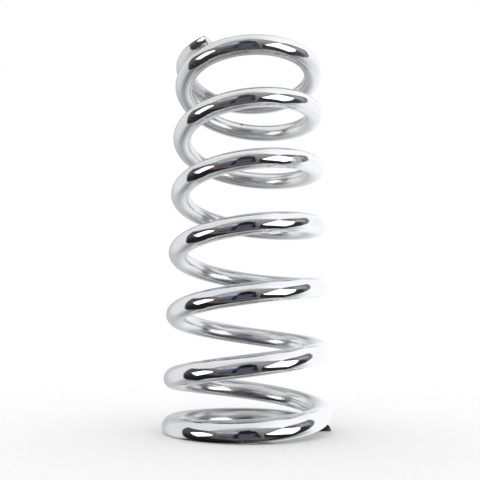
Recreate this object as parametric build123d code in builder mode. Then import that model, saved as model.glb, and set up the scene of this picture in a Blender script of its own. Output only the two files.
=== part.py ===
"""Coilover spring: one round wire wound into an open coil with closed, ground ends.

The spring stands on its lower ground face. Z runs up the coil axis, the origin is the
middle of the lower ground face, and the lower wire tip lies on the +X side.
"""

import os
from math import cos, pi, sin

from build123d import *

# Main sizes, in millimetres
inside_diameter = 65.0
wire_diameter = 10.0
free_length = 200.0

# Winding, counted in turns from the lower wire tip, right-handed
total_turns = 7.657
tip_turns = 0.25
lower_closed_turns = 0.2
lead_out_turns = 0.67
easing_turns = 1.35
closing_turns = 0.565
upper_closed_turns = 0.68

# Pitch in millimetres per turn where it is set by the winding tool
lower_closed_pitch = 2.0
lead_out_pitch = 29.9
upper_closed_pitch = 7.0

# Ends, in millimetres
grind_depth = 2.87
upper_tip_thickness = 3.4
tip_gap = 0.3

# The wire's surface runs through round sections, in short spans that share their end sections
spans_per_turn = 4
sections_per_span = 4

wire_radius = wire_diameter / 2
coil_radius = (inside_diameter + wire_diameter) / 2
seat_height = wire_radius - grind_depth
tip_spacing = wire_diameter + tip_gap
upper_tip_height = free_length + wire_radius - upper_tip_thickness


def winding(open_pitch: float, last_pitch: float) -> list[tuple[float, float]]:
    """The pitch at each station of the winding, straight in between.

    Args:
        open_pitch: Pitch of the open turns.
        last_pitch: Pitch at the upper wire tip.

    Returns:
        Pairs of turns from the lower tip and pitch there.
    """
    lower_closed_end = tip_turns + lower_closed_turns
    lead_out_end = lower_closed_end + lead_out_turns
    upper_closed_start = total_turns - upper_closed_turns
    return [
        (tip_turns, 0.0),
        (lower_closed_end, lower_closed_pitch),
        (lead_out_end, lead_out_pitch),
        (lead_out_end + easing_turns, open_pitch),
        (upper_closed_start - closing_turns, open_pitch),
        (upper_closed_start, upper_closed_pitch),
        (total_turns, last_pitch),
    ]


def rise(turn: float, stations: list[tuple[float, float]]) -> float:
    """Height that the wire gains from the end of the lower tip up to a given turn.

    Args:
        turn: Turns from the lower tip.
        stations: The winding's pitch stations.

    Returns:
        The height gained, the area under the pitch line.
    """
    gained = 0.0
    for (start, low), (end, high) in zip(stations, stations[1:]):
        run = min(max(turn - start, 0.0), end - start)
        pitch_there = low + (high - low) * run / (end - start)
        gained += run * (low + pitch_there) / 2
    return gained


# The open pitch brings the turn under the upper tip to its place below the tip
below_tip = total_turns - 1
closed_share = rise(below_tip, winding(0.0, 0.0))
open_share = rise(below_tip, winding(1.0, 0.0)) - closed_share
open_pitch = (upper_tip_height - tip_spacing - seat_height - closed_share) / open_share

# The last closed stretch climbs from its start to the upper tip
climbed = rise(total_turns - upper_closed_turns, winding(open_pitch, 0.0))
last_climb = upper_tip_height - seat_height - climbed
last_pitch = 2 * last_climb / upper_closed_turns - upper_closed_pitch
stations = winding(open_pitch, last_pitch)

# The lower tip dips to lie just under the turn above it
tip_dip = tip_spacing - rise(1.0, stations)


def wire_height(turn: float) -> float:
    """Height of the wire's centreline above the lower ground face.

    Args:
        turn: Turns from the lower tip.

    Returns:
        The height in millimetres.
    """
    tip_share = max(1 - turn / tip_turns, 0.0)
    return seat_height + rise(turn, stations) - tip_dip * tip_share**2


def wire_point(turn: float) -> Vector:
    """Point of the wire's centreline.

    Args:
        turn: Turns from the lower tip.

    Returns:
        The point in the part's frame.
    """
    angle = 2 * pi * turn
    return Vector(coil_radius * cos(angle), coil_radius * sin(angle), wire_height(turn))


def wire_direction(turn: float) -> Vector:
    """Direction of the wire's centreline, towards the upper tip.

    Args:
        turn: Turns from the lower tip.

    Returns:
        A unit vector.
    """
    small = 0.0001
    return (wire_point(turn + small) - wire_point(turn - small)).normalized()


def wire_section(turn: float) -> Plane:
    """Plane square to the wire, its x axis pointing away from the coil axis.

    Args:
        turn: Turns from the lower tip.

    Returns:
        The plane of the wire's round section.
    """
    point = wire_point(turn)
    direction = wire_direction(turn)
    outward = Vector(point.X, point.Y, 0.0).normalized()
    return Plane(origin=point, x_dir=outward - direction * outward.dot(direction), z_dir=direction)


# The spring is one wire through its sections, ground flat at both ends
os.makedirs("parts", exist_ok=True)
span_count = round(total_turns * spans_per_turn)
section_turns = total_turns / span_count / sections_per_span

with BuildPart() as coil_spring:
    for span in range(span_count):
        first = span * sections_per_span
        planes = [wire_section(section_turns * (first + step)) for step in range(sections_per_span + 1)]
        with BuildSketch(*planes):
            Circle(wire_radius)
        loft()
    split(bisect_by=Plane.XY, keep=Keep.TOP)
    split(bisect_by=Plane.XY.offset(free_length), keep=Keep.BOTTOM)

coil_spring.part.label = "coil_spring"
export_step(coil_spring.part, "parts/coil_spring.step")
print(f"open pitch {open_pitch:.2f} mm, last pitch {last_pitch:.2f} mm, tip dip {tip_dip:.2f} mm")
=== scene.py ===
"""Chrome-plated coilover spring, standing on its lower ground end in a plain pale studio.

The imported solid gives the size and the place. The wire is modelled again here with a finer
surface, dressed in bright chrome, and stands for the solid.
"""

import logging
import math
from dataclasses import dataclass, field
from enum import Enum
from typing import Callable

import bmesh
import bpy
from mathutils import Matrix, Vector

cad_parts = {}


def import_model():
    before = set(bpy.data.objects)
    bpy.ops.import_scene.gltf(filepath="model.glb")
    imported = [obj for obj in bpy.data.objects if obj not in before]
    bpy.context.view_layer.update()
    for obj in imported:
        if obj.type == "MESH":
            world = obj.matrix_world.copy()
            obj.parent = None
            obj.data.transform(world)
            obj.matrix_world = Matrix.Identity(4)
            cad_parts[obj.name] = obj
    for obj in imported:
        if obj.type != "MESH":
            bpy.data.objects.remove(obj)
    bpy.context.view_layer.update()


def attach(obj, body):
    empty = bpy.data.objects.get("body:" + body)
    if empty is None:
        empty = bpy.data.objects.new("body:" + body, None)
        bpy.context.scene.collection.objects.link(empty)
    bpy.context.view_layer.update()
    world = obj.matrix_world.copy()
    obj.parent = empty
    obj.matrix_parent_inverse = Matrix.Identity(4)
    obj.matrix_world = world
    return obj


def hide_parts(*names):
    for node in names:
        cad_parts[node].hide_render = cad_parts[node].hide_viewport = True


logging.basicConfig(level=logging.INFO, format="%(message)s")
LOG = logging.getLogger("coilover_spring")

MILLIMETRE = 0.001
Colour = tuple[float, float, float]
Point = tuple[float, float, float]
Station = tuple[float, float]
Span = tuple[float, float]
# Start and end of a smooth step, then its low and high where they aren't 0 and 1
Ramp = tuple[float, ...]
# Scale and detail of a noise
Waves = tuple[float, float]
WIRE_ATTRIBUTES = ("turn", "outward", "upward")


def grey(level: float) -> Colour:
    """A neutral colour."""
    return (level, level, level)


class End(Enum):
    """The two ends of the wire."""

    LOWER = "lower"
    UPPER = "upper"


@dataclass(frozen=True)
class Winding:
    """The law by which the wire climbs, in millimetres and turns from the lower tip."""

    inside_diameter: float = 65.0
    wire_diameter: float = 10.0
    free_length: float = 200.0
    total_turns: float = 7.657
    tip_turns: float = 0.25
    lower_closed_turns: float = 0.2
    lead_out_turns: float = 0.67
    easing_turns: float = 1.35
    closing_turns: float = 0.565
    upper_closed_turns: float = 0.68
    lower_closed_pitch: float = 2.0
    lead_out_pitch: float = 29.9
    upper_closed_pitch: float = 7.0
    grind_depth: float = 2.87
    upper_tip_thickness: float = 3.4
    tip_gap: float = 0.3

    @property
    def wire_radius(self) -> float:
        """Radius of the wire."""
        return self.wire_diameter / 2

    @property
    def coil_radius(self) -> float:
        """Radius of the wire's centreline."""
        return (self.inside_diameter + self.wire_diameter) / 2

    @property
    def seat_height(self) -> float:
        """Height of the centreline where the lower tip ends."""
        return self.wire_radius - self.grind_depth

    def stations(self, open_pitch: float, last_pitch: float) -> list[Station]:
        """The pitch at each station of the winding, straight in between.

        Args:
            open_pitch: Pitch of the open turns.
            last_pitch: Pitch at the upper wire tip.

        Returns:
            Pairs of turns from the lower tip and pitch there.
        """
        lower_closed_end = self.tip_turns + self.lower_closed_turns
        lead_out_end = lower_closed_end + self.lead_out_turns
        upper_closed_start = self.total_turns - self.upper_closed_turns
        return [
            (self.tip_turns, 0.0),
            (lower_closed_end, self.lower_closed_pitch),
            (lead_out_end, self.lead_out_pitch),
            (lead_out_end + self.easing_turns, open_pitch),
            (upper_closed_start - self.closing_turns, open_pitch),
            (upper_closed_start, self.upper_closed_pitch),
            (self.total_turns, last_pitch),
        ]

    @staticmethod
    def rise(turn: float, stations: list[Station]) -> float:
        """Height gained from the end of the lower tip up to a given turn.

        Args:
            turn: Turns from the lower tip.
            stations: The winding's pitch stations.

        Returns:
            The area under the pitch line, in millimetres.
        """
        gained = 0.0
        for (start, low), (end, high) in zip(stations, stations[1:]):
            run = min(max(turn - start, 0.0), end - start)
            pitch_there = low + (high - low) * run / (end - start)
            gained += run * (low + pitch_there) / 2
        return gained

    def height_law(self) -> Callable[[float], float]:
        """Solves the open pitch, the last pitch and the dip of the lower tip.

        Returns:
            A function from turns to the centreline's height in millimetres.
        """
        spacing = self.wire_diameter + self.tip_gap
        upper_tip_height = self.free_length + self.wire_radius - self.upper_tip_thickness
        below_tip = self.total_turns - 1
        closed_share = self.rise(below_tip, self.stations(0.0, 0.0))
        open_share = self.rise(below_tip, self.stations(1.0, 0.0)) - closed_share
        open_pitch = (upper_tip_height - spacing - self.seat_height - closed_share) / open_share
        upper_closed_start = self.total_turns - self.upper_closed_turns
        climbed = self.rise(upper_closed_start, self.stations(open_pitch, 0.0))
        last_climb = upper_tip_height - self.seat_height - climbed
        last_pitch = 2 * last_climb / self.upper_closed_turns - self.upper_closed_pitch
        stations = self.stations(open_pitch, last_pitch)
        tip_dip = spacing - self.rise(1.0, stations)

        def height(turn: float) -> float:
            """Height of the centreline at a turn."""
            tip_share = max(1 - turn / self.tip_turns, 0.0)
            return self.seat_height + self.rise(turn, stations) - tip_dip * tip_share**2

        return height


class Value:
    """A number socket that takes part in Python expressions."""

    def __init__(self, graph: "Graph", socket: bpy.types.NodeSocket) -> None:
        """Wraps a socket of a node graph."""
        self.graph = graph
        self.socket = socket

    def _maths(self, operation: str, *parts: "Value | float") -> "Value":
        """Adds one Math node on the given parts."""
        return self.graph.maths(operation, *parts)

    def __add__(self, other: "Value | float") -> "Value":
        """Sum."""
        return self._maths("ADD", self, other)

    def __sub__(self, other: "Value | float") -> "Value":
        """Difference."""
        return self._maths("SUBTRACT", self, other)

    def __mul__(self, other: "Value | float") -> "Value":
        """Product."""
        return self._maths("MULTIPLY", self, other)

    def __truediv__(self, other: "Value | float") -> "Value":
        """Quotient."""
        return self._maths("DIVIDE", self, other)

    def __neg__(self) -> "Value":
        """Negative."""
        return self._maths("MULTIPLY", self, -1.0)

    def ramp(self, start: float, end: float, low: float = 0.0, high: float = 1.0) -> "Value":
        """Smooth step from low to high between two values.

        Args:
            start: Value at which the result is low.
            end: Value at which the result is high.
            low: Result before the start.
            high: Result after the end.

        Returns:
            The stepped value.
        """
        made = self.graph.node(
            "ShaderNodeMapRange",
            {"interpolation_type": "SMOOTHSTEP"},
            {"Value": self, "From Min": start, "From Max": end, "To Min": low, "To Max": high},
        )
        return self.graph.value(made, "Result")

    def between(self, low: float, high: float) -> "Value":
        """The value stretched, so that 0 gives low and 1 gives high."""
        return self * (high - low) + low

    def window(self, start: float, end: float, fade: float) -> "Value":
        """1 from start to end, with a smooth step of the fade's width on each side."""
        return self.ramp(start - fade, start) * self.ramp(end + fade, end)

    def profile(self, points: tuple[Station, ...]) -> "Value":
        """A broken line through points, as a function of this value.

        Args:
            points: Pairs of this value and the result, in rising order.

        Returns:
            The result, level before the first point and after the last.
        """
        result: Value | float = points[0][1]
        for (start, low), (end, high) in zip(points, points[1:]):
            made = self.graph.node(
                "ShaderNodeMapRange", {"interpolation_type": "LINEAR"},
                {"Value": self, "From Min": start, "From Max": end, "To Min": 0.0, "To Max": high - low},
            )
            result = self.graph.value(made, "Result") + result
        return result


class Graph:
    """The nodes of one material or world, with short ways to add them."""

    # Sockets of a Mix node that mixes colours
    MIX_FACTOR, MIX_FIRST, MIX_SECOND, MIX_RESULT = 0, 6, 7, 2

    def __init__(self, tree: bpy.types.NodeTree) -> None:
        """Takes over an empty tree."""
        self.tree = tree
        self.tree.nodes.clear()

    def node(self, kind: str, settings: dict | None = None, sockets: dict | None = None) -> bpy.types.Node:
        """Adds a node.

        Args:
            kind: The node's type.
            settings: Its settings, set first.
            sockets: Values or links of its inputs.

        Returns:
            The node.
        """
        made = self.tree.nodes.new(kind)
        for name, value in (settings or {}).items():
            setattr(made, name, value)
        for name, value in (sockets or {}).items():
            self.plug(made.inputs[name], value)
        return made

    def plug(self, socket: bpy.types.NodeSocket, value: object) -> None:
        """Links a socket, or sets its value.

        Args:
            socket: The input to feed.
            value: A Value, a socket, a colour or a number.
        """
        if isinstance(value, Value):
            self.tree.links.new(value.socket, socket)
        elif isinstance(value, bpy.types.NodeSocket):
            self.tree.links.new(value, socket)
        elif socket.type == "RGBA":
            socket.default_value = (*value, 1.0)
        else:
            socket.default_value = value

    def value(self, node: bpy.types.Node, output: str) -> Value:
        """A number output of a node."""
        return Value(self, node.outputs[output])

    def maths(self, operation: str, *parts: Value | float) -> Value:
        """Adds one Math node.

        Args:
            operation: The node's operation.
            parts: Its one or two inputs.

        Returns:
            The result.
        """
        made = self.node("ShaderNodeMath", {"operation": operation})
        for socket, part in zip(made.inputs, parts):
            self.plug(socket, part)
        return self.value(made, "Value")

    def mix_colour(self, factor: Value | float, first: object, second: object) -> bpy.types.NodeSocket:
        """Mixes two colours.

        Args:
            factor: Share of the second colour.
            first: Colour or socket at 0.
            second: Colour or socket at 1.

        Returns:
            The mixed colour's socket.
        """
        made = self.node("ShaderNodeMix", {"data_type": "RGBA"})
        self.plug(made.inputs[self.MIX_FACTOR], factor)
        self.plug(made.inputs[self.MIX_FIRST], first)
        self.plug(made.inputs[self.MIX_SECOND], second)
        return made.outputs[self.MIX_RESULT]

    def attribute(self, name: str) -> Value:
        """A number attribute of the piece."""
        return self.value(self.node("ShaderNodeAttribute", {"attribute_name": name}), "Fac")

    def vector(self, x: Value | float, y: Value | float, z: Value | float) -> bpy.types.NodeSocket:
        """A vector from three numbers."""
        return self.node("ShaderNodeCombineXYZ", None, {"X": x, "Y": y, "Z": z}).outputs[0]

    def noise(self, place: bpy.types.NodeSocket, scale: float, detail: float) -> Value:
        """Noise from 0 to 1 at a place.

        Args:
            place: Coordinates.
            scale: Waves per unit.
            detail: Octaves.

        Returns:
            The noise.
        """
        made = self.node("ShaderNodeTexNoise", None, {"Vector": place, "Scale": scale, "Detail": detail})
        return self.value(made, "Fac")


@dataclass(frozen=True)
class Spot:
    """Where on the wire a shaded point lies.

    Place, x, y and height are in millimetres. Turn counts from the lower tip, and outward and
    upward run from -1 to 1 over the wire's section.
    """

    graph: Graph
    place: bpy.types.NodeSocket
    x: Value
    y: Value
    height: Value
    turn: Value
    outward: Value
    upward: Value

    @classmethod
    def read(cls, graph: Graph) -> "Spot":
        """Reads the object's coordinates and the wire's attributes.

        Args:
            graph: The material's nodes.

        Returns:
            The spot.
        """
        metres = graph.node("ShaderNodeTexCoord").outputs["Object"]
        place = graph.node(
            "ShaderNodeVectorMath", {"operation": "SCALE"}, {0: metres, "Scale": 1 / MILLIMETRE}
        ).outputs[0]
        parts = graph.node("ShaderNodeSeparateXYZ", None, {"Vector": place})
        x, y, height = (graph.value(parts, axis) for axis in "XYZ")
        turn, outward, upward = (graph.attribute(name) for name in WIRE_ATTRIBUTES)
        return cls(graph, place, x, y, height, turn, outward, upward)

    def away_from(self, point: Point) -> Value:
        """Distance from a point, in millimetres."""
        made = self.graph.node("ShaderNodeVectorMath", {"operation": "DISTANCE"}, {0: self.place, 1: point})
        return self.graph.value(made, "Value")


@dataclass(frozen=True)
class Grain:
    """A noise that follows the wire, stretched over its section and along its turns."""

    across: float
    along: float
    scale: float
    detail: float

    def at(self, spot: Spot) -> Value:
        """The noise at a spot, from 0 to 1."""
        place = spot.graph.vector(
            spot.outward * self.across, spot.upward * self.across, spot.turn * self.along
        )
        return spot.graph.noise(place, self.scale, self.detail)


@dataclass(frozen=True)
class ChromePlate:
    """Bright chrome over a drawn wire: polished outside the coil, duller where no wheel reaches.

    The ground faces carry grinding lines and a rim of painted shade, and the lower tip carries
    painted shade. The upper turns are hazier, and painted shade darkens them towards the left and
    darkens the first turn. The inner side carries painted shade on the left and painted light on
    the right. The plate has one dark speck and one dried water ring. Places, depths and sizes are in
    millimetres.
    """

    name: str = "chrome_plate"
    colour: Colour = (0.845, 0.855, 0.875)
    # Painted shade for the upper turns towards the left and for the first turn
    painted_shade_colour: Colour = (0.77, 0.78, 0.775)
    stained_colour: Colour = (0.74, 0.74, 0.74)
    # Inner side: painted shade on the left, painted light on the right
    inner_colour_shaded_left: Colour = (0.74, 0.755, 0.765)
    inner_colour_lit_right: Colour = (0.91, 0.92, 0.925)
    ground_colour: Colour = (0.58, 0.585, 0.59)
    cut_colour: Colour = (0.78, 0.78, 0.79)
    # Painted shade for the lower tip and the rims of the ground faces
    edge_shade_colour: Colour = (0.10, 0.10, 0.105)
    mark_colour: Colour = grey(0.02)
    shade_colour: Colour = grey(0.0)

    # Inner side of the coil, by the section's outward share, with painted shade on the left and painted light
    # on the right by x, and painted shade on the upper turns and the first turn
    inner_side: Ramp = (0.35, -0.45)
    inner_left_to_right: Ramp = (-30.0, 30.0)
    inner_shade_share: float = 0.25
    inner_shade_by_turn: Ramp = (6.0, 7.2)

    # Painted shade, by turn and by x, darkening the upper turns towards the left and the first turn, and
    # painted shade on the underside of the last front strand
    upper_shade_by_turn: Ramp = (4.2, 7.2)
    left_shade_by_side: Ramp = (30.0, -20.0)
    first_turn_by_turn: Ramp = (1.2, 0.4)
    first_turn_shade: float = 0.6
    stains: Grain = Grain(across=1.5, along=12.0, scale=1.0, detail=3.0)
    stain_share: Ramp = (0.45, 0.8)
    last_front_start: Ramp = (6.5, 6.7)
    last_front_end: Ramp = (7.0, 6.85)
    underside: Ramp = (-0.25, -0.8)
    underside_shade: float = 0.32

    # Clear haze over the metal
    haze_by_turn: Ramp = (3.5, 6.5, 0.15, 1.0)
    haze_streaks: Span = (0.5, 1.5)
    haze_roughness: float = 0.7
    haze_index: float = 2.2

    # Roughness
    polished_roughness: float = 0.025
    inner_roughness: float = 0.21
    ground_roughness: float = 0.22
    cut_roughness: float = 0.18
    cloud: Waves = (0.06, 3.0)
    cloud_wear: Span = (0.9, 1.1)
    streak_wear: Span = (0.85, 1.15)
    line_wear: Span = (0.6, 1.4)

    # Relief
    streaks: Grain = Grain(across=1.0, along=0.6, scale=4.0, detail=1.0)
    chatter: Grain = Grain(across=2.0, along=360.0, scale=1.0, detail=1.0)
    grinding: Waves = (1.0, 2.0)
    grinding_stretch: Span = (0.15, 4.0)
    grinding_depth: float = 0.004
    drawing_depth: float = 0.002
    chatter_depth: float = 0.006
    peel: Waves = (0.8, 1.0)
    peel_depth: float = 0.01

    # Wire ends and ground faces, with painted shade on the lower tip and on the rims of the ground faces
    cut_turns: float = 0.0005
    tip_shade_by_turn: Ramp = (0.025, 0.0125)
    flat_margin: float = 0.02
    ground_edge: float = 0.3
    ground_edge_start: float = 0.345
    lower_edge_fade: Ramp = (-0.05, 0.05)
    wide_edge: float = 0.8
    wide_edge_turns: Span = (0.65, 0.78)
    wide_edge_fade: float = 0.03

    # Marks
    speck_place: Point = (-4.2, 33.1, 182.8)
    speck_radii: Ramp = (1.32, 0.77)
    ring_place: Point = (23.2, -34.8, 129.9)
    ring_radius: float = 1.7
    ring_band: Ramp = (0.45, 0.15)
    ring_strength: float = 0.5
    ring_noise: Waves = (0.9, 2.0)
    ring_gaps: Ramp = (0.3, 0.55)
    smear_place: Point = (24.2, -33.9, 130.0)
    smear_radii: Ramp = (4.68, 2.52)
    smear_roughness: float = 0.3

    def build(self, free_length: float, total_turns: float) -> bpy.types.Material:
        """Makes the material.

        Args:
            free_length: Height of the upper ground face, in millimetres.
            total_turns: Turns at the upper end of the wire.

        Returns:
            The material.
        """
        material = bpy.data.materials.new(self.name)
        material.use_nodes = True
        graph = Graph(material.node_tree)
        spot = Spot.read(graph)
        inner = spot.outward.ramp(*self.inner_side)
        streaks = self.streaks.at(spot)
        cut = self.cut_ends(spot, total_turns)
        flat = self.ground_faces(spot, free_length)
        along, across = self.grinding_stretch
        lines = graph.noise(graph.vector(spot.x * along, spot.y * across, 0.0), *self.grinding)

        colour = self.plate_colour(spot, inner, streaks)
        colour = graph.mix_colour(cut, colour, self.cut_colour)
        # Painted shade on the lower tip and on the rims of the ground faces
        colour = graph.mix_colour(spot.turn.ramp(*self.tip_shade_by_turn), colour, self.edge_shade_colour)
        colour = graph.mix_colour(self.painted_edge_shade(spot, free_length), colour, self.edge_shade_colour)
        colour = graph.mix_colour(flat, colour, self.ground_colour)
        colour = graph.mix_colour(self.marks(spot), colour, self.mark_colour)

        worn = inner.between(self.polished_roughness, self.inner_roughness)
        worn = worn * graph.noise(spot.place, *self.cloud).between(*self.cloud_wear)
        worn = worn * streaks.between(*self.streak_wear)
        worn = worn + cut * self.cut_roughness + flat * self.ground_roughness * lines.between(*self.line_wear)
        smear = spot.away_from(self.smear_place).ramp(*self.smear_radii)

        drawn = inner * (streaks * self.drawing_depth + self.chatter.at(spot) * self.chatter_depth)
        peel = graph.noise(spot.place, *self.peel) * self.peel_depth
        relief = flat * lines * self.grinding_depth + drawn + peel
        bump = graph.node("ShaderNodeBump", None, {"Strength": 1.0, "Distance": MILLIMETRE, "Height": relief})
        shader = graph.node(
            "ShaderNodeBsdfPrincipled", None,
            {
                "Base Color": colour,
                "Metallic": 1.0,
                "Roughness": worn + smear * self.smear_roughness,
                "Coat Weight": spot.turn.ramp(*self.haze_by_turn) * streaks.between(*self.haze_streaks),
                "Coat Roughness": self.haze_roughness,
                "Coat IOR": self.haze_index,
                "Normal": bump.outputs["Normal"],
            },
        )
        graph.node("ShaderNodeOutputMaterial", None, {"Surface": shader.outputs[0]})
        return material

    def plate_colour(self, spot: Spot, inner: Value, streaks: Value) -> bpy.types.NodeSocket:
        """The plate's own colour and stains, with painted shade and painted light laid over it.

        Args:
            spot: The shaded point.
            inner: 1 on the inner side of the coil, 0 outside.
            streaks: Noise drawn out along the wire.

        Returns:
            The colour.
        """
        graph = spot.graph
        # Painted shade: the first turn, and the upper turns towards the left, are darkened
        first_turn = spot.turn.ramp(*self.first_turn_by_turn) * self.first_turn_shade
        shade_share = spot.turn.ramp(*self.upper_shade_by_turn) * spot.x.ramp(*self.left_shade_by_side) + first_turn
        colour = graph.mix_colour(shade_share, self.colour, self.painted_shade_colour)
        stained = self.stains.at(spot).ramp(*self.stain_share)
        colour = graph.mix_colour(stained, colour, self.stained_colour)

        # Painted light on the inner side's right, painted shade on its left, and painted shade towards black
        # on its upper turns and first turn
        to_right = spot.x.ramp(*self.inner_left_to_right)
        inner_colour = graph.mix_colour(to_right, self.inner_colour_shaded_left, self.inner_colour_lit_right)
        inner_shade_share = (spot.turn.ramp(*self.inner_shade_by_turn) + first_turn) * self.inner_shade_share
        inner_colour = graph.mix_colour(inner_shade_share, inner_colour, self.shade_colour)
        colour = graph.mix_colour(inner * streaks.between(*self.streak_wear), colour, inner_colour)

        # Painted shade on the underside of the last front strand
        last_front = spot.turn.ramp(*self.last_front_start) * spot.turn.ramp(*self.last_front_end)
        shaded = spot.upward.ramp(*self.underside) * last_front * self.underside_shade
        return graph.mix_colour(shaded, colour, self.shade_colour)

    def cut_ends(self, spot: Spot, total_turns: float) -> Value:
        """Where the wire was sheared off.

        Args:
            spot: The shaded point.
            total_turns: Turns at the upper end of the wire.

        Returns:
            1 on the two wire ends, 0 elsewhere.
        """
        lower = spot.graph.maths("LESS_THAN", spot.turn, self.cut_turns)
        return lower + spot.graph.maths("GREATER_THAN", spot.turn, total_turns - self.cut_turns)

    def ground_faces(self, spot: Spot, free_length: float) -> Value:
        """Where the ends are ground flat.

        Args:
            spot: The shaded point.
            free_length: Height of the upper ground face.

        Returns:
            1 on the two ground faces, 0 elsewhere.
        """
        lower = spot.graph.maths("LESS_THAN", spot.height, self.flat_margin)
        return lower + spot.graph.maths("GREATER_THAN", spot.height, free_length - self.flat_margin)

    def painted_edge_shade(self, spot: Spot, free_length: float) -> Value:
        """Painted shade on the rims beside the ground faces, the lower one wider over a short way.

        Args:
            spot: The shaded point.
            free_length: Height of the upper ground face.

        Returns:
            1 on the rims, 0 away from them.
        """
        wide = spot.turn.window(*self.wide_edge_turns, self.wide_edge_fade)
        lower = (wide * self.wide_edge + self.ground_edge - spot.height).ramp(*self.lower_edge_fade)
        return lower + spot.height.ramp(free_length - self.ground_edge_start, free_length - self.ground_edge)

    def marks(self, spot: Spot) -> Value:
        """The dark speck and the dried water ring, which noise breaks up.

        Args:
            spot: The shaded point.

        Returns:
            The share of the marks' colour.
        """
        graph = spot.graph
        speck = spot.away_from(self.speck_place).ramp(*self.speck_radii)
        off = graph.maths("ABSOLUTE", spot.away_from(self.ring_place) - self.ring_radius)
        unbroken = graph.noise(spot.place, *self.ring_noise).ramp(*self.ring_gaps)
        ring = off.ramp(*self.ring_band) * unbroken * self.ring_strength
        return graph.maths("MAXIMUM", speck, ring)


@dataclass
class Wire:
    """The wire's mesh: a round section carried along the winding, ground flat at both ends."""

    winding: Winding = field(default_factory=Winding)
    section_points: int = 60
    rings_per_turn: int = 120
    edge_radius: float = 0.25
    edge_segments: int = 2
    edge_profile: float = 0.5
    sharp_angle: float = math.radians(22)
    weld_distance: float = 0.001
    cut_tolerance: float = 1e-7
    slope_step: float = 0.0001

    def ring_matrix(self, turn: float, height: Callable[[float], float]) -> Matrix:
        """Where the wire's section sits at a turn.

        Args:
            turn: Turns from the lower tip.
            height: The winding's height law.

        Returns:
            A matrix from the section's own frame, z back down the wire, to the object's frame.
        """
        angle = math.tau * turn
        radius = self.winding.coil_radius
        step = self.slope_step
        climb = (height(turn + step) - height(turn - step)) / (2 * step)
        outward = Vector((math.cos(angle), math.sin(angle), 0.0))
        around = Vector((-math.sin(angle), math.cos(angle), 0.0))
        direction = (around * math.tau * radius + Vector((0.0, 0.0, climb))).normalized()
        upward = outward.cross(direction)
        place = outward * radius + Vector((0.0, 0.0, height(turn)))
        matrix = Matrix((outward, upward, -direction)).transposed().to_4x4()
        matrix.translation = place * MILLIMETRE
        return matrix

    def build(self) -> bpy.types.Object:
        """Models the whole wire.

        Returns:
            The wire's object.
        """
        mesh = bmesh.new()
        ring_count = round(self.winding.total_turns * self.rings_per_turn)
        bmesh.ops.create_grid(mesh, x_segments=self.section_points, y_segments=ring_count, size=1.0)
        self.wind(mesh, ring_count)
        bmesh.ops.remove_doubles(mesh, verts=mesh.verts, dist=self.weld_distance * MILLIMETRE)
        bmesh.ops.holes_fill(mesh, edges=[e for e in mesh.edges if e.is_boundary], sides=0)
        bmesh.ops.recalc_face_normals(mesh, faces=mesh.faces)
        self.grind(mesh, End.LOWER)
        self.grind(mesh, End.UPPER)
        self.soften(mesh)
        data = bpy.data.meshes.new("spring_wire")
        mesh.to_mesh(data)
        mesh.free()
        piece = bpy.data.objects.new("spring_wire", data)
        bpy.context.scene.collection.objects.link(piece)
        return piece

    def wind(self, mesh: bmesh.types.BMesh, ring_count: int) -> None:
        """Rolls a flat grid into a tube along the winding, one row of the grid to a ring.

        Each point keeps its turn, and its shares of the way from the centreline to the outside
        and to the top, for the material.

        Args:
            mesh: The grid.
            ring_count: Number of steps from the first ring to the last.
        """
        turn_layer, outward_layer, upward_layer = (
            mesh.verts.layers.float.new(name) for name in WIRE_ATTRIBUTES
        )
        height = self.winding.height_law()
        radius = self.winding.wire_radius * MILLIMETRE
        points = list(mesh.verts)
        row_length = self.section_points + 1
        for ring in range(ring_count + 1):
            turn = self.winding.total_turns * ring / ring_count
            placed = self.ring_matrix(turn, height)
            row = points[ring * row_length:(ring + 1) * row_length]
            for step, vertex in enumerate(row):
                angle = math.tau * step / self.section_points
                outward, upward = math.cos(angle), math.sin(angle)
                vertex[turn_layer], vertex[outward_layer], vertex[upward_layer] = turn, outward, upward
                vertex.co = placed @ Vector((outward * radius, upward * radius, 0.0))

    def grind(self, mesh: bmesh.types.BMesh, end: End) -> None:
        """Cuts one end flat and closes the cut.

        Args:
            mesh: The wire.
            end: Which end.
        """
        level = 0.0 if end is End.LOWER else self.winding.free_length * MILLIMETRE
        facing = -1.0 if end is End.LOWER else 1.0
        cut = bmesh.ops.bisect_plane(
            mesh, geom=mesh.verts[:] + mesh.edges[:] + mesh.faces[:], dist=self.cut_tolerance,
            plane_co=(0.0, 0.0, level), plane_no=(0.0, 0.0, facing), clear_outer=True,
        )["geom_cut"]
        rim = [g for g in cut if isinstance(g, bmesh.types.BMEdge)]
        bmesh.ops.holes_fill(mesh, edges=rim, sides=0)

    def soften(self, mesh: bmesh.types.BMesh) -> None:
        """Breaks the sharp edges of the cuts and shades the rest smooth.

        Args:
            mesh: The wire.
        """
        for face in mesh.faces:
            face.smooth = True
        rims = [e for e in mesh.edges if len(e.link_faces) == 2 and e.calc_face_angle() > self.sharp_angle]
        LOG.info("rim edges: %d", len(rims))
        bmesh.ops.bevel(
            mesh, geom=rims, offset=self.edge_radius * MILLIMETRE, offset_type="OFFSET",
            segments=self.edge_segments, profile=self.edge_profile, affect="EDGES", material=-1,
            clamp_overlap=True,
        )


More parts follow.
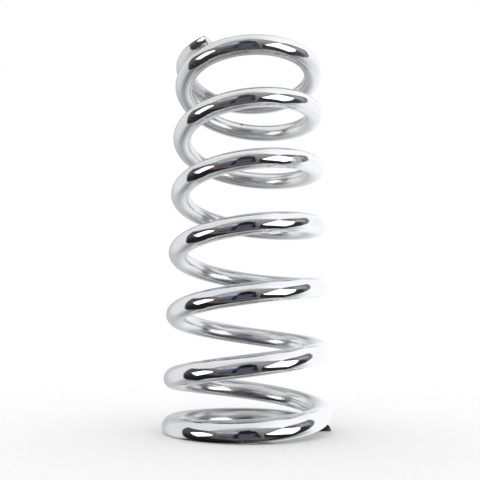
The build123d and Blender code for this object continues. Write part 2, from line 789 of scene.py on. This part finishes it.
@dataclass(frozen=True)
class Sight:
    """The direction that the metal mirrors, seen from the spring.

    Azimuth counts from the camera's side and runs to the right. It and elevation are in
    degrees, and place holds the two and 1. The share to the right is from -1 to 1.
    """

    graph: Graph
    direction: bpy.types.NodeSocket
    to_right: Value
    azimuth: Value
    elevation: Value
    place: bpy.types.NodeSocket

    @classmethod
    def read(cls, graph: Graph) -> "Sight":
        """Reads the mirrored direction.

        Args:
            graph: The world's nodes.

        Returns:
            The sight.
        """
        direction = graph.node("ShaderNodeTexCoord").outputs["Generated"]
        parts = graph.node("ShaderNodeSeparateXYZ", None, {"Vector": direction})
        x, y, z = (graph.value(parts, axis) for axis in "XYZ")
        azimuth = graph.maths("ARCTAN2", x, -y) * math.degrees(1)
        elevation = graph.maths("ARCSINE", z) * math.degrees(1)
        return cls(graph, direction, x, azimuth, elevation, graph.vector(azimuth, elevation, 1.0))


@dataclass(frozen=True)
class Panel:
    """One flat surface of the studio as the metal mirrors it.

    Corners are pairs of azimuth and elevation in degrees, clockwise as drawn with azimuth to the
    right, of a polygon with no hollow. The colour runs from top to bottom between the two
    elevations of the run.
    """

    corners: tuple[Station, ...]
    top: Colour
    bottom: Colour
    run: Span = (90.0, -90.0)
    fade: float = 3.0

    def mask(self, sight: Sight) -> Value:
        """Where the panel is mirrored.

        Args:
            sight: The mirrored direction.

        Returns:
            1 inside the panel, 0 outside it.
        """
        graph = sight.graph
        depth = None
        for (x0, y0), (x1, y1) in zip(self.corners, self.corners[1:] + self.corners[:1]):
            length = math.hypot(x1 - x0, y1 - y0)
            across, up = (y1 - y0) / length, (x0 - x1) / length
            edge = (across, up, -(x0 * across + y0 * up))
            made = graph.node("ShaderNodeVectorMath", {"operation": "DOT_PRODUCT"}, {0: sight.place, 1: edge})
            inside = graph.value(made, "Value")
            depth = inside if depth is None else graph.maths("MINIMUM", depth, inside)
        return depth.ramp(-self.fade / 2, self.fade / 2)

    def lay(self, under: object, sight: Sight) -> bpy.types.NodeSocket:
        """Lays the panel over a colour.

        Args:
            under: The colour or its socket.
            sight: The mirrored direction.

        Returns:
            The colour with the panel in it.
        """
        top, bottom = self.run
        fill = sight.graph.mix_colour(sight.elevation.ramp(bottom, top), self.bottom, self.top)
        return sight.graph.mix_colour(self.mask(sight), under, fill)


@dataclass(frozen=True)
class Stripe:
    """A narrow upright thing in the studio as the metal mirrors it, such as a door post.

    The path pairs elevation with azimuth, both in degrees, from the bottom up.
    """

    path: tuple[Station, ...]
    width: float
    colour: Colour
    fade: float = 2.0

    def mask(self, sight: Sight) -> Value:
        """Where the stripe is mirrored.

        Args:
            sight: The mirrored direction.

        Returns:
            1 inside the stripe, 0 outside it.
        """
        offset = sight.graph.maths("ABSOLUTE", sight.azimuth - sight.elevation.profile(self.path))
        across = offset.ramp((self.width + self.fade) / 2, (self.width - self.fade) / 2)
        low, high = self.path[0][0], self.path[-1][0]
        return across * sight.elevation.window(low, high, self.fade)

    def lay(self, under: object, sight: Sight) -> bpy.types.NodeSocket:
        """Lays the stripe over a colour."""
        return sight.graph.mix_colour(self.mask(sight), under, self.colour)


@dataclass(frozen=True)
class Room:
    """The dim side of the studio behind the camera, open at the top and closed by its two sides.

    The ceiling gives the elevation of its upper edge at each azimuth, and the walls give the
    azimuth of its side edges at each elevation, all in degrees.
    """

    ceiling: tuple[Station, ...] = (
        (-100, 28), (-90, 27), (-75, 21), (-60, 17), (-50, 14), (-38, 26), (-20, 33), (0, 36), (14, 32),
        (28, 24), (45, 15), (58, 22), (75, 26), (92, 31), (100, 31),
    )
    ceiling_fade: tuple[Station, ...] = (
        (-100, 3), (-60, 3), (-45, 8), (-30, 34), (0, 34), (18, 22), (32, 8), (45, 4), (60, 6), (100, 5),
    )
    left_wall: tuple[Station, ...] = (
        (-90, -180), (-70, -168), (-63, -143), (-58, -125), (-52, -113), (-42, -107), (-35, -102),
        (-21, -95), (-8, -92), (90, -92),
    )
    right_wall: tuple[Station, ...] = (
        (-90, 180), (-70, 170), (-63, 148), (-58, 130), (-52, 113), (-45, 104), (-32, 100), (-20, 97),
        (90, 97),
    )
    wall_fade: Ramp = (-2.0, 2.0)
    top: Colour = (0.34, 0.34, 0.34)
    middle: Colour = (0.15, 0.15, 0.16)
    bottom: Colour = (0.10, 0.095, 0.10)
    middle_to_top: Ramp = (-15.0, 22.0)
    bottom_to_middle: Ramp = (-60.0, -20.0)

    def mask(self, sight: Sight) -> Value:
        """Where the dim room is mirrored.

        Args:
            sight: The mirrored direction.

        Returns:
            1 inside the room, 0 in the bright surround.
        """
        azimuth, elevation = sight.azimuth, sight.elevation
        below = azimuth.profile(self.ceiling) - elevation
        share = (below / azimuth.profile(self.ceiling_fade) + 0.5).ramp(0.0, 1.0)
        from_left = azimuth - elevation.profile(self.left_wall)
        from_right = elevation.profile(self.right_wall) - azimuth
        return share * from_left.ramp(*self.wall_fade) * from_right.ramp(*self.wall_fade)

    def colour(self, sight: Sight) -> bpy.types.NodeSocket:
        """The room's own colour at each elevation."""
        upper = sight.graph.mix_colour(sight.elevation.ramp(*self.middle_to_top), self.middle, self.top)
        return sight.graph.mix_colour(sight.elevation.ramp(*self.bottom_to_middle), self.bottom, upper)


@dataclass(frozen=True)
class Surround:
    """The pale surroundings, dimmer to the left and below, with a grey band and an arch behind.

    Steps by elevation or by azimuth are in degrees, and those by side in the mirrored
    direction's share to the right.
    """

    left: Colour = (0.87, 0.87, 0.885)
    right: Colour = (1.13, 1.135, 1.165)
    left_to_right: Ramp = (-0.1, 0.55)
    top: Colour = (0.98, 0.98, 0.985)
    top_by_elevation: Ramp = (40.0, 80.0)
    top_by_side: Ramp = (0.3, -0.1)
    band: Colour = (0.60, 0.61, 0.62)
    band_start: Ramp = (120.0, 150.0)
    band_end: Ramp = (162.0, 179.0, 1.0, 0.55)
    band_by_side: Ramp = (0.25, -0.1)
    low_level: float = 0.31
    low_by_elevation: Ramp = (-27.0, -55.0)
    arch: Colour = (0.15, 0.152, 0.157)
    arch_start: Ramp = (140.0, 158.0)
    arch_by_side: Ramp = (-0.1, -0.35, 0.4, 1.0)
    arch_foot: Ramp = (28.0, 38.0)
    arch_crown: Ramp = (80.0, 62.0)

    def colour(self, sight: Sight) -> bpy.types.NodeSocket:
        """The surroundings as they are mirrored.

        Args:
            sight: The mirrored direction.

        Returns:
            The colour.
        """
        graph, elevation, to_right = sight.graph, sight.elevation, sight.to_right
        turned_away = graph.maths("ABSOLUTE", sight.azimuth)
        sides = graph.mix_colour(to_right.ramp(*self.left_to_right), self.left, self.right)
        above = elevation.ramp(*self.top_by_elevation) * to_right.ramp(*self.top_by_side)
        sides = graph.mix_colour(above, sides, self.top)
        band = turned_away.ramp(*self.band_start) * turned_away.ramp(*self.band_end)
        sides = graph.mix_colour(band * to_right.ramp(*self.band_by_side), sides, self.band)
        low = tuple(level * self.low_level for level in self.left)
        sides = graph.mix_colour(elevation.ramp(*self.low_by_elevation), sides, low)
        arch = turned_away.ramp(*self.arch_start) * to_right.ramp(*self.arch_by_side)
        arch = arch * elevation.ramp(*self.arch_foot) * elevation.ramp(*self.arch_crown)
        return graph.mix_colour(arch, sides, self.arch)


@dataclass(frozen=True)
class Clutter:
    """Small dark things that stand about the room, as a noise over the mirrored direction."""

    colour: Colour = (0.02, 0.02, 0.022)
    scale: float = 13.0
    detail: float = 3.0
    share: Ramp = (0.5, 0.6)
    depth: float = 0.45

    def lay(self, under: object, sight: Sight) -> bpy.types.NodeSocket:
        """Lays the clutter over a colour."""
        dark = sight.graph.noise(sight.direction, self.scale, self.detail).ramp(*self.share) * self.depth
        return sight.graph.mix_colour(dark, under, self.colour)


@dataclass
class Studio:
    """Floor, surroundings and camera."""

    camera_place: Point = (0.0, -0.2667, 0.0374)
    camera_turn: float = 0.0157
    camera_rise: float = 0.2244
    camera_roll: float = 0.0084
    lens: float = 37.48
    sensor_width: float = 36.0
    nearest: float = 0.01
    floor_radius: float = 6.0
    floor_segments: int = 96
    floor_drop: float = 0.0001
    floor_colour: Colour = (1.0, 1.0, 1.0)
    plain_light: Colour = (1.0, 1.0, 1.0)
    surround: Surround = field(default_factory=Surround)
    room: Room = field(default_factory=Room)
    clutter: Clutter = field(default_factory=Clutter)
    panels: tuple[Panel, ...] = (
        # Left wall
        Panel(((-180, 40), (-76, 40), (-77, -90), (-180, -90)), (0.095, 0.1, 0.1), grey(0.012), (10, -34), 4),
        # Frame over and beside the left window
        Panel(((-80, 26), (-60, 17), (-47, 8), (-52, -4), (-80, -4)), grey(0.08), grey(0.09), fade=4),
        Panel(((-53, 20), (-45, 7), (-36, -16), (-44, -20), (-52, -2)),
              (0.15, 0.16, 0.15), (0.25, 0.24, 0.27), fade=5),
        # Pale wall left of the middle
        Panel(((-46, 30), (-16, 32), (-11, -8), (-32, -10), (-43, 4)),
              (0.42, 0.42, 0.40), (0.56, 0.58, 0.65), (16, -4), 8),
        # Grey and blue cloth under it
        Panel(((-42, -8), (-28, -8), (-26, -62), (-44, -62)),
              (0.18, 0.18, 0.20), (0.03, 0.026, 0.025), (-12, -52), 5),
        Panel(((-31, -9), (-11, -9), (-10, -56), (-30, -56)),
              (0.155, 0.185, 0.27), (0.09, 0.10, 0.14), (-12, -46), 5),
        Panel(((-15.5, -17), (-10.5, -15), (-9, -58), (-19, -54), (-18, -40)),
              (0.022, 0.026, 0.034), grey(0.016), (-20, -45), 4),
        # Dark floor to the left
        Panel(((-180, -34), (-58, -30), (-50, -62), (-50, -78), (-180, -78)),
              grey(0.018), grey(0.012), (-36, -50), 5),
        # Grey wall right of the middle, and the board at its foot
        Panel(((2, 28), (38, 26), (39, 3), (34, -8), (27, -27), (22, -27), (12, -6), (6, 6)),
              grey(0.38), grey(0.28), (15, -20), 5),
        Panel(((20, -24), (33, -20), (31, -38), (24, -41)),
              (0.27, 0.26, 0.25), (0.22, 0.205, 0.195), (-22, -40), 4),
        # Dark doorway in the middle
        Panel(((-11, -5), (12, -7), (19, -33), (22, -60), (-8, -62), (-10, -46)),
              (0.03, 0.035, 0.05), (0.09, 0.105, 0.15), (-11, -28), 3),
        Panel(((12, -24), (17, -26), (21, -46), (18, -50), (13, -40)), grey(0.022), grey(0.018), fade=5),
        Panel(((-8, 13), (-1, 16.5), (5, 11), (12, 1), (15, -8), (12, -13), (-9, -12), (-11, -6), (-10, 6)),
              (0.05, 0.045, 0.04), grey(0.005), (15, 8), 3),
        # Wall and frame right of the right window
        Panel(((45, 15), (58, 20), (74, 26), (76, -2), (46, 6)), grey(0.16), grey(0.20), fade=5),
        Panel(((66, 27), (98, 37), (98, -4), (67, -4)), grey(0.18), grey(0.42), (24, 10), 7),
        Panel(((88, 38), (100, 40), (100, 0), (89, -2)), grey(0.19), grey(0.20), fade=6),
        Panel(((74, 0), (100, 0), (116, -52), (80, -52)), grey(0.30), grey(0.03), (1, -12), 4),
        Panel(((89, -5), (98, -5), (104, -34), (93, -34)), grey(0.20), grey(0.07), (-8, -30), 7),
        # Dark floor to the right
        Panel(((30, -36), (60, -42), (84, -46), (88, -62), (70, -69), (46, -64), (35, -56)),
              grey(0.02), grey(0.02), fade=4),
        Panel(((84, -47), (116, -50), (108, -60), (88, -60)), grey(0.05), grey(0.05), fade=5),
        # Dark floor far behind
        Panel(((84, -46), (112, -38), (180, -50), (180, -75), (88, -70)), grey(0.012), grey(0.012), fade=5),
        Panel(((-180, -50), (-112, -38), (-92, -44), (-90, -70), (-180, -75)),
              grey(0.012), grey(0.012), fade=5),
        # Boards below
        Panel(((-180, -74), (180, -74), (180, -90), (-180, -90)),
              (0.10, 0.09, 0.085), grey(0.04), (-76, -84), 5),
        Panel(((-180, -60), (-54, -54), (-38, -68), (-44, -86), (-180, -82)),
              grey(0.014), grey(0.014), fade=5),
        Panel(((-54, -30), (-47, -26), (-22, -60), (-24, -70), (-38, -66), (-52, -50)),
              (0.17, 0.125, 0.09), (0.15, 0.105, 0.085), (-30, -50), 5),
        Panel(((-32, -59), (30, -58), (88, -66), (88, -78), (-32, -78)),
              (0.17, 0.135, 0.12), (0.14, 0.115, 0.10), fade=6),
    )
    stripes: tuple[Stripe, ...] = (
        # Pink and dark door posts, and the dark edge under the right window's corner
        Stripe(((-62, 38), (-45, 28), (-25, 19.5), (-6, 14.5)), 3.5, (0.25, 0.205, 0.222)),
        Stripe(((-60, 29.5), (-45, 21.5), (-22, 14), (-5, 11)), 3.0, (0.02, 0.016, 0.02)),
        Stripe(((-55, -11.5), (-40, -11.5), (-22, -10.5), (-10, -10)), 2.5, (0.02, 0.022, 0.03)),
        Stripe(((-50, 36), (-38, 29.5), (-27, 26)), 3.5, grey(0.015)),
    )
    windows: tuple[Panel, ...] = (
        Panel(((-77, -6), (-72, -3), (-58, 0), (-53, -4), (-44, -16), (-45.5, -24), (-58, -30), (-72, -32)),
              grey(2.2), grey(2.2), fade=2),
        Panel(((38, -3), (42, 4), (50, 2), (71, -2.5), (81, -45), (60, -43), (41, -39), (32, -34), (28, -28),
               (29, -25)),
              grey(2.2), grey(2.2), fade=2),
        Panel(((42.5, 26), (48.5, 26), (47.5, 4), (43.5, 4)), grey(0.6), grey(0.8), (14, 5), 4),
    )

    def build(self) -> None:
        """Sets up the whole studio."""
        self.build_floor()
        self.build_world()
        self.build_camera()

    def build_floor(self) -> None:
        """Lays a plain pale floor under the spring."""
        mesh = bmesh.new()
        bmesh.ops.create_circle(mesh, cap_ends=True, segments=self.floor_segments, radius=self.floor_radius)
        bmesh.ops.translate(mesh, verts=mesh.verts, vec=(0.0, 0.0, -self.floor_drop))
        data = bpy.data.meshes.new("floor")
        mesh.to_mesh(data)
        mesh.free()
        floor = bpy.data.objects.new("floor", data)
        bpy.context.scene.collection.objects.link(floor)
        material = bpy.data.materials.new("floor_paper")
        material.use_nodes = True
        graph = Graph(material.node_tree)
        paper = graph.node("ShaderNodeBsdfDiffuse", None, {"Color": self.floor_colour})
        graph.node("ShaderNodeOutputMaterial", None, {"Surface": paper.outputs[0]})
        data.materials.append(material)
        floor.visible_glossy = False

    def build_world(self) -> None:
        """Lights the room evenly and hangs the mirrored studio around the spring."""
        world = bpy.data.worlds.new("studio")
        bpy.context.scene.world = world
        world.use_nodes = True
        graph = Graph(world.node_tree)
        sight = Sight.read(graph)
        inside = self.room.colour(sight)
        for thing in (*self.panels, *self.stripes, self.clutter, *self.windows):
            inside = thing.lay(inside, sight)
        colour = graph.mix_colour(self.room.mask(sight), self.surround.colour(sight), inside)
        path = graph.node("ShaderNodeLightPath")
        mirrored = graph.node("ShaderNodeBackground", None, {"Color": colour, "Strength": 1.0})
        plain = graph.node("ShaderNodeBackground", None, {"Color": self.plain_light, "Strength": 1.0})
        mix = graph.node("ShaderNodeMixShader", None, {"Fac": graph.value(path, "Is Glossy Ray")})
        graph.plug(mix.inputs[1], plain.outputs[0])
        graph.plug(mix.inputs[2], mirrored.outputs[0])
        graph.node("ShaderNodeOutputWorld", None, {"Surface": mix.outputs[0]})

    def build_camera(self) -> None:
        """Puts the camera where the photograph was taken from."""
        data = bpy.data.cameras.new("camera")
        data.lens = self.lens
        data.sensor_width = self.sensor_width
        data.clip_start = self.nearest
        camera = bpy.data.objects.new("camera", data)
        bpy.context.scene.collection.objects.link(camera)
        turn = Matrix.Rotation(self.camera_turn, 4, "Z")
        rise = Matrix.Rotation(math.pi / 2 + self.camera_rise, 4, "X")
        roll = Matrix.Rotation(self.camera_roll, 4, "Z")
        camera.matrix_world = Matrix.Translation(self.camera_place) @ turn @ rise @ roll
        bpy.context.scene.camera = camera


def main() -> None:
    """Builds the spring and its studio and reports each piece."""
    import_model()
    wire = Wire()
    piece = wire.build()
    piece.data.materials.append(ChromePlate().build(wire.winding.free_length, wire.winding.total_turns))
    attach(piece, "root")
    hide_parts("coil_spring")
    LOG.info("spring_wire: %d faces", len(piece.data.polygons))
    Studio().build()
    bpy.context.scene.view_settings.view_transform = "Standard"


if __name__ == "__main__":
    main()
